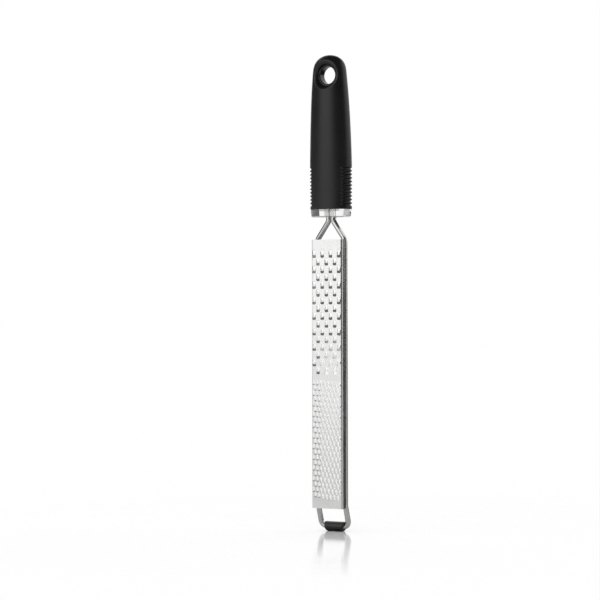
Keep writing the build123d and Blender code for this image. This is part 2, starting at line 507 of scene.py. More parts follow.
@dataclass
class MaterialSheet:
    """A material with its graph, its surface shader and its pattern coordinates."""

    name: str
    coordinates: Coordinates = Coordinates.OBJECT
    material: bpy.types.Material = field(init=False)
    graph: Graph = field(init=False)
    shader: bpy.types.Node = field(init=False)
    place: bpy.types.Node = field(init=False)

    def __post_init__(self) -> None:
        """Set the material up with one Principled shader and its coordinates."""
        self.material, self.graph = new_material(self.name)
        self.shader = self.material.node_tree.nodes["Principled BSDF"]
        self.place = self.graph.add("ShaderNodeTexCoord")

    @property
    def vector(self) -> bpy.types.NodeSocket:
        """The coordinates that the finish reads its pattern from."""
        return self.place.outputs[self.coordinates.value]

    def set(self, name: str, value: object) -> None:
        """Give one of the shader's own sockets a value or a link."""
        self.graph.feed(self.shader.inputs[name], value)

    def effect(self, tree: bpy.types.NodeTree, vector: bpy.types.NodeSocket | None = None,
               **inputs: object) -> bpy.types.Node:
        """Place a shared group, fed with coordinates and with values of this material.

        Args:
            tree: The group's tree.
            vector: Coordinates to use in place of the material's own.
            inputs: Values of the group's inputs, with spaces written as underscores.

        Returns:
            The group's node.
        """
        node = self.graph.wired("ShaderNodeGroup", node_tree=tree)
        self.graph.feed(node.inputs["Vector"], self.vector if vector is None else vector)
        for name, value in inputs.items():
            self.graph.feed(node.inputs[name.replace("_", " ")], value)
        return node

    def bump(self, height: object, distance: float, strength: float) -> None:
        """Let a height turn the shader's normal.

        Args:
            height: The height, from 0 to 1.
            distance: How far up a height of 1 lies.
            strength: Share of the effect.
        """
        node = self.graph.add("ShaderNodeBump", Height=height, Distance=distance,
                              Strength=strength)
        self.set("Normal", node.outputs["Normal"])


@dataclass(frozen=True)
class SoftRubber:
    """Soft-touch moulded rubber: nearly black, with a fine blasted grain."""

    name: str
    shade: Shade
    roughness: float
    grain_scale: float = 3200.0
    grain_depth: float = 0.012 * MM
    grain_strength: float = 0.25
    patch_scale: float = 85.0
    patch_range: Pair = (0.35, 0.7)
    lightening: float = 1.35
    smudge_scale: float = 55.0
    smudge_gloss: float = 0.07
    scuff_dullness: float = 0.1
    refraction: float = 1.5

    def make(self, effects: Effects) -> bpy.types.Material:
        """Build the material.

        Args:
            effects: The shared effects.

        Returns:
            The finished material.
        """
        sheet = MaterialSheet(self.name)
        graph = sheet.graph
        grain = sheet.effect(effects.grain, Scale=self.grain_scale,
                             Patch_Scale=self.patch_scale)
        marks = sheet.effect(effects.handling, Scale=self.smudge_scale)
        pale = scaled(self.shade, self.lightening)
        worn = graph.span(grain.outputs["Patches"], *self.patch_range)
        sheet.set("Base Color", graph.mix(worn, self.shade, pale))
        gloss = graph.math("MULTIPLY", marks.outputs["Smudges"], self.smudge_gloss)
        rough = graph.math("SUBTRACT", self.roughness, gloss)
        scuffed = graph.math("MULTIPLY", marks.outputs["Scuffs"], self.scuff_dullness)
        sheet.set("Roughness", graph.math("ADD", rough, scuffed))
        sheet.set("IOR", self.refraction)
        sheet.bump(grain.outputs["Height"], self.grain_depth, self.grain_strength)
        return sheet.material


@dataclass(frozen=True)
class HardPlastic:
    """Hard black moulding with a polished skin and faint flow marks."""

    name: str
    shade: Shade
    roughness: float = 0.16
    smudge_dulling: float = 1.6
    lightening: float = 1.6
    grain_scale: float = 900.0
    patch_scale: float = 120.0
    smudge_scale: float = 160.0
    grain_depth: float = 0.004 * MM
    grain_strength: float = 0.2
    refraction: float = 1.52

    def make(self, effects: Effects) -> bpy.types.Material:
        """Build the material from the shared grain and handling marks.

        Args:
            effects: The shared effects.

        Returns:
            The finished material.
        """
        sheet = MaterialSheet(self.name)
        graph = sheet.graph
        grain = sheet.effect(effects.grain, Scale=self.grain_scale,
                             Patch_Scale=self.patch_scale)
        marks = sheet.effect(effects.handling, Scale=self.smudge_scale)
        pale = scaled(self.shade, self.lightening)
        sheet.set("Base Color", graph.mix(grain.outputs["Patches"], self.shade, pale))
        sheet.set("Roughness", graph.span(marks.outputs["Smudges"], 0.0, 1.0, self.roughness,
                                          self.smudge_dulling * self.roughness))
        sheet.set("IOR", self.refraction)
        sheet.bump(grain.outputs["Height"], self.grain_depth, self.grain_strength)
        return sheet.material


@dataclass(frozen=True)
class ClearPlastic:
    """Clear polished plastic, with a breath of haze where it was handled."""

    name: str
    shade: Shade = (0.985, 0.99, 0.99, 1.0)
    refraction: float = 1.49
    smudge_scale: float = 220.0
    smudge_tint: float = 0.985
    roughness: Pair = (0.01, 0.06)

    def make(self, effects: Effects) -> bpy.types.Material:
        """Build the material: all transmission, with roughness from the smudges.

        Args:
            effects: The shared effects.

        Returns:
            The finished material.
        """
        sheet = MaterialSheet(self.name)
        graph = sheet.graph
        smudges = sheet.effect(effects.handling, Scale=self.smudge_scale).outputs["Smudges"]
        tint = scaled(self.shade, self.smudge_tint)
        sheet.set("Base Color", graph.mix(smudges, self.shade, tint))
        sheet.set("Roughness", graph.span(smudges, 0.0, 1.0, *self.roughness))
        sheet.set("IOR", self.refraction)
        sheet.set("Transmission Weight", 1.0)
        return sheet.material


@dataclass(frozen=True)
class DrawnWire:
    """Polished stainless wire with the fine lines that the drawing die leaves along it."""

    name: str
    shade: Shade = (0.71, 0.71, 0.70, 1.0)
    roughness: float = 0.13
    line_dulling: float = 1.9
    line_scales: Pair = (9000.0, 60.0)
    line_depth: float = 0.002 * MM
    line_strength: float = 0.35
    line_range: Pair = (0.25, 0.75)
    band_range: Pair = (0.35, 0.7)
    band_tint: float = 0.86
    smudge_scale: float = 130.0
    smudge_dullness: float = 0.05

    def make(self, effects: Effects) -> bpy.types.Material:
        """Build the material on the wire's own map, so that the lines follow its bends.

        Args:
            effects: The shared effects.

        Returns:
            The finished material.
        """
        sheet = MaterialSheet(self.name, Coordinates.ALONG)
        graph = sheet.graph
        streaks = sheet.effect(effects.streaks, Across=self.line_scales[0],
                               Along=self.line_scales[1])
        marks = sheet.effect(effects.handling, sheet.place.outputs["Object"],
                             Scale=self.smudge_scale)
        dull = scaled(self.shade, self.band_tint)
        tone = graph.span(streaks.outputs["Bands"], *self.band_range)
        sheet.set("Base Color", graph.mix(tone, self.shade, dull))
        lines = graph.span(streaks.outputs["Lines"], *self.line_range,
                           self.roughness, self.line_dulling * self.roughness)
        smudged = graph.math("MULTIPLY", marks.outputs["Smudges"], self.smudge_dullness)
        sheet.set("Roughness", graph.math("ADD", lines, smudged))
        sheet.set("Metallic", 1.0)
        sheet.bump(streaks.outputs["Lines"], self.line_depth, self.line_strength)
        return sheet.material


@dataclass(frozen=True)
class SatinSheet:
    """Satin stainless sheet: rolled lines along the blade, with light smudges."""

    name: str
    shade: Shade = (0.87, 0.87, 0.865, 1.0)
    roughness: float = 0.2
    line_dulling: float = 1.2
    line_scales: Pair = (7000.0, 55.0)
    line_depth: float = 0.002 * MM
    line_strength: float = 0.1
    line_range: Pair = (0.25, 0.75)
    band_range: Pair = (0.3, 0.75)
    band_tint: float = 0.95
    patch_range: Pair = (0.3, 0.7)
    least_wear: float = 0.5
    grain_scales: Pair = (5200.0, 45.0)
    grain_share: float = 0.4
    smudge_scale: float = 70.0
    smudge_dullness: float = 0.06

    def make(self, effects: Effects) -> bpy.types.Material:
        """Build the material, with its lines along Z.

        Args:
            effects: The shared effects.

        Returns:
            The finished material.
        """
        sheet = MaterialSheet(self.name)
        graph = sheet.graph
        turned = graph.add("ShaderNodeSeparateXYZ", Vector=sheet.vector)
        across = graph.math("ADD", turned.outputs[0], turned.outputs[1])
        flat = graph.add("ShaderNodeCombineXYZ", X=across, Y=turned.outputs[2])
        streaks = sheet.effect(effects.streaks, flat.outputs[0], Across=self.line_scales[0],
                               Along=self.line_scales[1])
        marks = sheet.effect(effects.handling, Scale=self.smudge_scale)
        grain = sheet.effect(effects.grain, Scale=self.grain_scales[0],
                             Patch_Scale=self.grain_scales[1])
        dull = scaled(self.shade, self.band_tint)
        tone = graph.span(streaks.outputs["Bands"], *self.band_range)
        patches = graph.span(grain.outputs["Patches"], *self.patch_range,
                             to_low=self.least_wear)
        worn = graph.math("MULTIPLY", tone, patches)
        sheet.set("Base Color", graph.mix(worn, self.shade, dull))
        lines = graph.span(streaks.outputs["Lines"], *self.line_range,
                           self.roughness, self.line_dulling * self.roughness)
        smudged = graph.math("MULTIPLY", marks.outputs["Smudges"], self.smudge_dullness)
        sheet.set("Roughness", graph.math("ADD", lines, smudged))
        sheet.set("Metallic", 1.0)
        rough_grain = graph.math("MULTIPLY", grain.outputs["Height"], self.grain_share)
        both = graph.math("ADD", streaks.outputs["Lines"], rough_grain)
        sheet.bump(both, self.line_depth, self.line_strength)
        return sheet.material


# The tool's pieces


@dataclass
class WireFrame:
    """One bent wire: tangs, neck, rails, legs and the crossbar of the foot."""

    finish: bpy.types.Material
    box: tuple
    radius: float = WIRE_RADIUS
    tang_offset: float = 1.95 * MM
    end_bevel: float = 0.6 * MM
    neck_drop: float = 2.9 * MM
    neck_angle: float = math.radians(35.5)
    tang_length: float = 62.0 * MM
    blade_lift: float = 16.5 * MM
    kick_back: float = 4.9 * MM
    kick_rise: float = 2.2 * MM
    bar_height: float = 3.4 * MM
    corner_radii: tuple[float, ...] = (5.0 * MM, 6.0 * MM, 8.0 * MM, 4.4 * MM)
    sides: int = 40
    arc_steps: int = 14
    run_step: float = 3.0 * MM
    crease: float = 32.0

    def corners(self) -> np.ndarray:
        """Corner points of the centre line: the left half, then its mirror image.

        Returns:
            The points, from the left tang round to the right one.
        """
        rail = self.box[1].x - self.radius
        top = self.box[1].z
        neck_top = top - self.tang_length - self.neck_drop
        drop = (rail - self.tang_offset) / math.tan(self.neck_angle)
        left = np.array([
            [-self.tang_offset, 0, top],
            [-self.tang_offset, 0, neck_top],
            [-rail, 0, neck_top - drop],
            [-rail, 0, self.blade_lift + self.kick_rise],
            [-rail, self.kick_back, self.bar_height],
        ])
        return np.concatenate([left, (left * [-1, 1, 1])[::-1]])

    def centre_line(self) -> np.ndarray:
        """Points along the wire: straight runs, joined by arcs that touch both runs.

        An arc of radius r at a corner that turns by t starts r tan(t / 2) before it. Its
        points are the centre plus r times the turning radius vector.

        Returns:
            The points from one tang end to the other.
        """
        corner = self.corners()
        radii = self.corner_radii + self.corner_radii[::-1]
        runs = [corner[:1]]
        for before, at, after, radius in zip(corner, corner[1:], corner[2:], radii):
            inward = (at - before) / np.linalg.norm(at - before)
            outward = (after - at) / np.linalg.norm(after - at)
            turn = math.acos(float(np.clip(inward @ outward, -1, 1)))
            reach = radius * math.tan(turn / 2)
            side = outward - inward * math.cos(turn)
            side /= np.linalg.norm(side)
            start = at - inward * reach
            angle = np.linspace(0, turn, self.arc_steps)[:, None]
            arc = start + radius * (np.sin(angle) * inward + (1 - np.cos(angle)) * side)
            runs += [self.between(runs[-1][-1], start), arc]
        runs.append(self.between(runs[-1][-1], corner[-1]))
        runs.append(corner[-1:])
        return np.concatenate(runs)

    def between(self, start: np.ndarray, end: np.ndarray) -> np.ndarray:
        """Evenly spaced points inside a straight run, without its ends.

        Args:
            start: One end.
            end: The other end.

        Returns:
            The points between the ends.
        """
        count = max(2, int(np.linalg.norm(end - start) / self.run_step))
        share = np.linspace(0, 1, count)[1:-1, None]
        return start + (end - start) * share

    def build(self) -> bpy.types.Object:
        """Carry a circle along the centre line and close it with bevelled ends.

        The circle's first axis is Y less its part along the wire, which never vanishes,
        because the wire never runs along Y. A ring's radius shrinks to nothing at an end.

        Returns:
            The wire's object.
        """
        line = self.centre_line()
        along = np.gradient(line, axis=0)
        along /= np.linalg.norm(along, axis=1, keepdims=True)
        first_tip = line[0] + along[0] * np.array([[0.0], [0.0], [self.end_bevel]])
        last_tip = line[-1] - along[-1] * np.array([[self.end_bevel], [0.0], [0.0]])
        centre = np.concatenate([first_tip, line[1:-1], last_tip])
        heading = np.concatenate([along[:1].repeat(3, 0), along[1:-1], along[-1:].repeat(3, 0)])
        radius = np.full(len(centre), self.radius)
        radius[[0, -1]] = 0.0
        radius[[1, -2]] = self.radius - self.end_bevel
        up = np.array([0.0, 1.0, 0.0])
        first = up - heading * (heading @ up)[:, None]
        first /= np.linalg.norm(first, axis=1, keepdims=True)
        second = np.cross(heading, first)
        angle = full_turn(self.sides)
        ring = (np.cos(angle)[None, :, None] * first[:, None]
                + np.sin(angle)[None, :, None] * second[:, None])
        grid = centre[:, None] + radius[:, None, None] * ring
        length = np.concatenate([[0], np.cumsum(np.linalg.norm(np.diff(centre, axis=0), axis=1))])
        around, run = np.meshgrid(angle * self.radius, length)
        skin = Skin("wire_frame_drawn")
        skin.add_grid(grid, np.stack([around, run], axis=-1))
        return settle(skin.build([self.finish], self.crease), "wire_frame")


@dataclass(frozen=True)
class ToothZone:
    """One zone of raised teeth on the blade, in staggered rows.

    A tooth is highest at its lip, falls to nothing at its root, one length above, and has
    its mouth below the lip. The shares place the grid's lines across a tooth and along it.
    """

    rows: int
    slots: int
    slot_width: float
    row_pitch: float
    top_lip: float
    slope: float
    width: float
    height: float
    length: float
    mouth: float
    wall: float
    bulge: float
    across_shares: tuple[float, ...]
    hood_shares: tuple[float, ...]
    arch_powers: Pair = (2.5, 1.1)
    fall_power: float = 1.5
    droop_share: float = 0.8
    droop_reach: float = 1.5

    @property
    def reach(self) -> float:
        """Half the width that the slots take."""
        return self.slots * self.slot_width / 2

    def across_lines(self) -> np.ndarray:
        """Lines across the zone: every slot has the same few, as shares of half a tooth.

        Returns:
            Distances from the middle, from left to right.
        """
        half_slot_share = self.slot_width / self.width
        inner = np.array(self.across_shares)
        one = np.concatenate([[-half_slot_share], inner]) * self.width / 2
        if abs(inner[0] + half_slot_share) < HAIR:
            one = inner[:-1] * self.width / 2
        centre = (np.arange(self.slots) - (self.slots - 1) / 2) * self.slot_width
        lines = (centre[:, None] + one[None]).ravel()
        return np.append(lines, self.reach)

    def level_lines(self) -> np.ndarray:
        """Levels of the lines that every row has: its hood's, its lip and its mouth's.

        Returns:
            Levels, from the top row down to the last mouth.
        """
        hood = np.array(self.hood_shares) * self.length
        one = np.concatenate([hood[::-1], [-self.mouth / 2, -self.mouth]])
        lips = self.top_lip - np.arange(self.rows) * self.row_pitch
        return (lips[:, None] + one[None]).ravel()

    def find(self, level: np.ndarray,
             over: np.ndarray) -> tuple[np.ndarray, np.ndarray, np.ndarray]:
        """Find the tooth that each point of a grid belongs to.

        Rows are counted down from the top one and slots from the left, and a tooth stands
        where the two counts add up to an even number.

        Args:
            level: The grid's levels, as a column.
            over: The grid's distances over the sheet.

        Returns:
            The height of each level over its row's lip, the place across the tooth from
            -1 to 1, and a mask of the points within a tooth's width.
        """
        row = np.floor((self.top_lip + self.length + HAIR - level) / self.row_pitch)
        slot = np.floor(over / self.slot_width + self.slots / 2)
        from_lip = level - (self.top_lip - row * self.row_pitch)
        centre = (slot - (self.slots - 1) / 2) * self.slot_width
        u = (over - centre) / (self.width / 2)
        within = (row >= 0) & (row < self.rows) & (slot >= 0) & (slot < self.slots)
        return from_lip, u, within & ((slot + row) % 2 == 0) & (np.abs(u) <= 1)


@dataclass
class Relief:
    """What the teeth make of the sheet's grid.

    Each point has a height over the face, a distance by which it is lowered and a wall,
    and each cell is kept or left out.
    """

    height: np.ndarray
    lower: np.ndarray
    wall: np.ndarray
    keep: np.ndarray

    @classmethod
    def plain(cls, shape: tuple[int, int], sheet: float) -> Relief:
        """The relief of a plain sheet, with all its cells."""
        return cls(np.zeros(shape), np.zeros(shape), np.full(shape, sheet),
                   np.ones((shape[0] - 1, shape[1] - 1), bool))


@dataclass
class Blade:
    """The channel-shaped cutting sheet: a grid bent to the channel and raised into teeth."""

    face: bpy.types.Material
    edge: bpy.types.Material
    box: tuple
    sheet: float = 0.5 * MM
    bend_radius: float = 1.6 * MM
    face_level: float = -6.7 * MM
    corner_radius: float = 2.2 * MM
    coarse_margin: float = 10.7 * MM
    fine_margin: float = 7.6 * MM
    line_reach: float = 12.5 * MM
    fine_rows: int = 22
    fine_pitch: float = 3.72 * MM
    fine_tilt: float = math.radians(4.0)
    end_lines: int = 5
    band_lines: int = 8
    corner_lines: int = 8
    bend_lines: int = 7
    flange_lines: int = 5
    crease: float = 38.0
    coarse: ToothZone = field(init=False)
    fine: ToothZone = field(init=False)

    def __post_init__(self) -> None:
        """Place both zones between the ends of the sheet."""
        low, high = self.box[0].z, self.box[1].z
        self.coarse = ToothZone(
            rows=16, slots=7, slot_width=3.35 * MM, row_pitch=5.4 * MM,
            top_lip=high - self.coarse_margin, slope=0.0, width=2.9 * MM,
            height=0.42 * MM, length=3.2 * MM, mouth=1.75 * MM, wall=0.3 * MM,
            bulge=0.3 * MM,
            across_shares=(-1.0, -0.8, -0.45, 0.0, 0.45, 0.8, 1.0),
            hood_shares=(0.0, 0.08, 0.22, 0.4, 0.62, 0.82, 1.0))
        self.fine = ToothZone(
            rows=self.fine_rows, slots=15, slot_width=1.525 * MM, row_pitch=self.fine_pitch,
            top_lip=low + self.fine_margin + (self.fine_rows - 1) * self.fine_pitch,
            slope=math.tan(self.fine_tilt), width=1.525 * MM,
            height=0.36 * MM, length=2.4 * MM, mouth=0.65 * MM, wall=0.25 * MM,
            bulge=0.15 * MM,
            across_shares=(-1.0, -0.5, 0.0, 0.5, 1.0),
            hood_shares=(0.0, 0.15, 0.4, 0.7, 1.0))

    @property
    def flat_reach(self) -> float:
        """Half the width of the face's flat part."""
        return self.box[1].x - self.bend_radius

    @property
    def bend_reach(self) -> float:
        """Distance over the sheet from its middle to the end of a bend."""
        return self.flat_reach + self.bend_radius * math.pi / 2

    @property
    def full_reach(self) -> float:
        """Distance over the sheet from its middle to a flange's edge."""
        flange = self.box[1].y - self.face_level - self.bend_radius
        return self.bend_reach + flange

    def bent(self, over: np.ndarray) -> tuple[np.ndarray, np.ndarray, np.ndarray, np.ndarray]:
        """Carry a distance over the sheet to the channel's outer side.

        Up to the flat reach the sheet runs along X. The bend is a quarter circle, and the
        flange runs along Y after it.

        Args:
            over: Distance from the sheet's middle, measured over its outer side.

        Returns:
            x, y, and the x and y of the outward normal.
        """
        side, far = np.sign(over), np.abs(over)
        angle = np.clip((far - self.flat_reach) / self.bend_radius, 0, np.pi / 2)
        flange = np.maximum(far - self.bend_reach, 0)
        x = side * (np.minimum(far, self.flat_reach) + self.bend_radius * np.sin(angle))
        y = self.face_level + self.bend_radius * (1 - np.cos(angle)) + flange
        return x, y, side * np.sin(angle), -np.cos(angle)

    def across_grid(self, level: np.ndarray) -> np.ndarray:
        """Distance over the sheet of every line across, at every level.

        The lines follow the coarse slots above and the fine slots below, and pass from one
        set to the other in the plain band between the zones. Outside the slots they spread
        evenly over the rest of the bend and over the flange.

        Args:
            level: The levels, from the top down.

        Returns:
            An array of levels by lines.
        """
        coarse, fine = self.coarse.across_lines(), self.fine.across_lines()
        spare = (len(fine) - len(coarse)) // 2
        edge = np.linspace(self.coarse.reach, self.line_reach, spare + 1)[1:]
        coarse = np.concatenate([-edge[::-1], coarse, edge])
        low, high = self.band()
        share = smooth_step((level - low) / (high - low))[:, None]
        middle = coarse[None] * share + fine[None] * (1 - share)
        bend = np.linspace(0, 1, self.bend_lines)[1:]
        flange = np.linspace(0, 1, self.flange_lines)[1:]
        last = middle[:, -1:]
        right = last + (self.bend_reach - last) * bend
        cut = self.flange_cut(level)[:, None]
        rest = (self.full_reach - cut - self.bend_reach) * flange
        outer = np.concatenate([right, self.bend_reach + rest], axis=1)
        return np.concatenate([-outer[:, ::-1], middle, outer], axis=1)

    def band(self) -> Pair:
        """Find the plain band between the zones.

        Returns:
            Its lowest and its highest level.
        """
        low = self.fine.top_lip + self.fine.length + self.fine.slope * self.fine.reach
        high = self.coarse.top_lip - (self.coarse.rows - 1) * self.coarse.row_pitch
        return low, high - self.coarse.mouth - self.coarse.bulge

    def flange_cut(self, level: np.ndarray) -> np.ndarray:
        """How much a flange is narrowed near its rounded lower corner, a quarter circle."""
        depth = np.clip(self.corner_radius - (level - self.box[0].z), 0, self.corner_radius)
        return self.corner_radius - np.sqrt(np.maximum(self.corner_radius**2 - depth**2, 0))

    def levels(self) -> np.ndarray:
        """Gather the levels of both zones, of the band between them and of the ends.

        Returns:
            All levels of the grid, from the sheet's top edge to its bottom edge.
        """
        low, high = self.box[0].z, self.box[1].z
        coarse, fine = self.coarse.level_lines(), self.fine.level_lines()
        top = np.linspace(high, coarse[0], self.end_lines)[:-1]
        band = np.linspace(coarse[-1], fine[0], self.band_lines)[1:-1]
        corner = quarter_turn(self.corner_lines)[::-1]
        rounded = low + self.corner_radius * (1 - np.cos(corner))
        bottom = np.linspace(fine[-1], rounded[0], self.end_lines)[1:-1]
        return np.concatenate([top, coarse, band, fine, bottom, rounded])

    def build(self) -> bpy.types.Object:
        """Raise the teeth on the bent grid, open their mouths and give the sheet its wall.

        The back follows the front at the sheet's thickness, and closer under a tooth. The
        cells of a mouth are left out, and every edge of what stays is closed by a strip
        from front to back.

        Returns:
            The blade's object.
        """
        level = self.levels()
        over = self.across_grid(level)
        relief = Relief.plain(over.shape, self.sheet)
        for zone in (self.coarse, self.fine):
            self.raise_teeth(zone, level, over, relief)
        x, y, nx, ny = self.bent(over)
        z = level[:, None] - self.tilt(level)[:, None] * x + relief.lower
        inset = relief.height - relief.wall
        front = np.stack([x + nx * relief.height, y + ny * relief.height, z], axis=-1)
        back = np.stack([x + nx * inset, y + ny * inset, z], axis=-1)
        skin = Skin("blade_sheet")
        quads = grid_quads(*over.shape, relief.keep)
        skin.add(front, quads)
        skin.add(back, quads[:, ::-1])
        both = np.concatenate([front.reshape(-1, 3), back.reshape(-1, 3)])
        skin.add(both, self.rims(relief.keep, over.shape), finish=1)
        return settle(skin.build([self.face, self.edge], self.crease), "blade")

    def tilt(self, level: np.ndarray) -> np.ndarray:
        """Slope of the fine rows, which fades out above and below their zone.

        Args:
            level: The levels.

        Returns:
            The slope at each level.
        """
        low = self.box[0].z
        band_low, band_high = self.band()
        lowest = low + self.fine_margin - self.fine.mouth
        rise = smooth_step((level - low) / (lowest - low))
        fall = smooth_step((band_high - level) / (band_high - band_low))
        return self.fine.slope * rise * fall

    def raise_teeth(self, zone: ToothZone, level: np.ndarray, over: np.ndarray,
                    relief: Relief) -> None:
        """Write one zone's teeth into the relief.

        A tooth's height is its crown times an arch across it, (1 - |u|^2.5)^1.1, times a
        fall along it, cos(pi q / 2)^1.5, with u from -1 to 1 across the tooth and q from 0
        at the lip to 1 at the root. Lips and mouths bow down the blade by 1 - u^2.

        Args:
            zone: The zone's sizes.
            level: The grid's levels.
            over: The grid's distances over the sheet.
            relief: What the teeth make of the grid, written here.
        """
        from_lip, u, inside = zone.find(level[:, None], over)
        q = from_lip / zone.length
        across, sharpness = zone.arch_powers
        arch = np.where(inside, np.maximum(1 - np.abs(u) ** across, 0) ** sharpness, 0)
        fall = np.cos(np.pi / 2 * np.clip(q, 0, 1)) ** zone.fall_power
        crown = arch * np.where((q > -HAIR) & (q <= 1), fall, 0)
        relief.height += zone.height * crown
        relief.wall -= (self.sheet - zone.wall) * crown
        bow = zone.bulge * np.where(inside, np.maximum(1 - u**2, 0), 0)
        near = np.clip(1 - np.abs(from_lip) / (zone.droop_reach * zone.mouth), 0, 1)
        lip_bow = zone.droop_share * bow * near * (from_lip > -HAIR)
        relief.lower -= np.where(np.abs(from_lip + zone.mouth) < HAIR, bow, lip_bow)
        middle_level = (level[:-1] + level[1:]) / 2
        middle_over = (over[:-1, :-1] + over[1:, 1:]) / 2
        from_lip, _, inside = zone.find(middle_level[:, None], middle_over)
        relief.keep &= ~(inside & (from_lip > -zone.mouth) & (from_lip < 0))

    @staticmethod
    def rims(keep: np.ndarray, shape: tuple[int, int]) -> np.ndarray:
        """Strips from front to back along every edge between a kept cell and an open one.

        Args:
            keep: Mask of the kept cells.
            shape: Rows and columns of points.

        Returns:
            Corner numbers, with the back's points numbered after the front's.
        """
        number = np.arange(shape[0] * shape[1]).reshape(shape)
        total = number.size
        tall = np.pad(keep, ((1, 1), (0, 0)))
        wide = np.pad(keep, ((0, 0), (1, 1)))
        level_edge = tall[1:] != tall[:-1]
        upright_edge = wide[:, 1:] != wide[:, :-1]
        first = np.concatenate([number[:, :-1][level_edge], number[:-1][upright_edge]])
        second = np.concatenate([number[:, 1:][level_edge], number[1:][upright_edge]])
        return np.stack([first, second, second + total, first + total], axis=-1)


@dataclass
class FootSleeve:
    """The rubber tube on the crossbar, longer on top than below, with eased rims."""

    finish: bpy.types.Material
    box: tuple
    wire_radius: float = WIRE_RADIUS
    end_slope: float = math.radians(12.0)
    rim_radius: float = 0.55 * MM
    overlap: float = 0.05 * MM
    wall_share: float = 0.85
    wall_lines: int = 12
    rim_lines: int = 7
    sides: int = 64
    crease: float = 40.0

    def build(self) -> bpy.types.Object:
        """Carry a tube's profile round the crossbar.

        The profile runs out along the outer wall, round the rim by a quarter circle, in
        over the end face and back through the bore. Its half length at a height h above
        the sleeve's lowest line is the top one, less (2 R - h) tan(slope).

        Returns:
            The sleeve's object.
        """
        low, high = self.box
        radius = (high.z - low.z) / 2
        angle = full_turn(self.sides)[:, None]
        quarter = quarter_turn(self.rim_lines)
        bore = self.wire_radius - self.overlap
        rim = radius - self.rim_radius * (1 - np.cos(quarter))
        back = self.rim_radius * (1 - np.sin(quarter))
        wall = np.linspace(-self.wall_share, self.wall_share, self.wall_lines)
        face = (rim[-1] + bore) / 2
        reach = np.concatenate([rim[::-1], np.full(len(wall), radius), rim,
                                [face, bore, bore, face]])
        inset = np.concatenate([back[::-1], np.zeros(len(wall)), back, np.zeros(4)])
        share = np.concatenate([-np.ones(len(rim)), wall, np.ones(len(rim)), [1, 1, -1, -1]])
        height = radius + reach * np.cos(angle)
        half = high.x - (2 * radius - height) * math.tan(self.end_slope)
        x = share * half - np.sign(share) * inset
        y = (low.y + high.y) / 2 + reach * np.sin(angle)
        grid = np.stack([x, y, low.z + height], axis=-1)
        grid = np.concatenate([grid, grid[:, :1]], axis=1)
        skin = Skin("foot_sleeve_rubber")
        skin.add_grid(grid)
        return settle(skin.build([self.finish], self.crease), "foot_sleeve")


def ellipse(width: np.ndarray, depth: np.ndarray, angle: np.ndarray) -> np.ndarray:
    """Points of ellipses, one row for each pair of half width and half depth."""
    wide, deep = np.atleast_1d(width)[:, None], np.atleast_1d(depth)[:, None]
    return np.stack([wide * np.sin(angle), -deep * np.cos(angle)], axis=-1)


@dataclass(frozen=True)
class TangSlot:
    """The slot for the two tangs, which the collar and the core both have."""

    offset: float = 1.95 * MM
    radius: float = 1.95 * MM

    def outline(self, angle: np.ndarray) -> np.ndarray:
        """Points of the slot's outline: half circles about two centres, with straight sides.

        A ray at the given angle meets the straight side, or else the circle about the
        nearer centre.

        Args:
            angle: Angles of the rays, from -Y towards +X.

        Returns:
            One point for each angle.
        """
        across, down = np.sin(angle), -np.cos(angle)
        beside = self.radius**2 - self.offset**2 * down**2
        to_circle = np.abs(across) * self.offset + np.sqrt(np.maximum(beside, 0))
        to_side = self.radius / np.maximum(np.abs(down), HAIR)
        on_side = to_side * np.abs(across) <= self.offset
        reach = np.where(on_side, to_side, to_circle)
        return np.stack([across, down], axis=-1) * reach[:, None]


@dataclass
class Collar:
    """The clear ring under the grip, with a slot for the two tangs."""

    finish: bpy.types.Material
    box: tuple
    taper: float = 0.7 * MM
    edge_radius: float = 1.0 * MM
    slot: TangSlot = TangSlot()
    air_film: float = 0.02 * MM
    edge_lines: int = 12
    wall_lines: int = 8
    columns: int = 160
    crease: float = 40.0

    def build(self) -> bpy.types.Object:
        """Carry the ring's outline round: wall, rounded lower edge, underside, slot and top.

        The outer rows are ellipses that widen by the taper from bottom to top. The lower
        edge is a quarter circle. A thin film of air stays between the top and the grip's
        end, so that the top mirrors from inside.

        Returns:
            The collar's object.
        """
        low, high = self.box
        angle = full_turn(self.columns)
        quarter = quarter_turn(self.edge_lines)
        rise = self.edge_radius * (1 - np.cos(quarter))
        top = high.z - self.air_film
        wall = np.linspace(low.z + self.edge_radius, top, self.wall_lines)
        level = np.concatenate([low.z + rise, wall[1:]])
        grown = self.taper * (level - low.z) / (high.z - low.z) - self.taper
        inset = np.concatenate([
            self.edge_radius * (1 - np.sin(quarter)), np.zeros(len(wall) - 1)])
        outer = ellipse(high.x + grown - inset, high.y + grown - inset, angle)
        slot = self.slot.outline(angle)[None]
        rows = np.concatenate([slot, (slot + outer[:1]) / 2, outer,
                               (slot + outer[-1:]) / 2, slot, slot])
        heights = np.concatenate([[low.z, low.z], level, [top, top, low.z]])
        grid = np.concatenate(
            [rows, np.broadcast_to(heights[:, None, None], rows.shape[:2] + (1,))], axis=-1)
        skin = Skin("collar_clear")
        skin.add_grid(grid)
        return settle(skin.build([self.finish], self.crease), "collar")


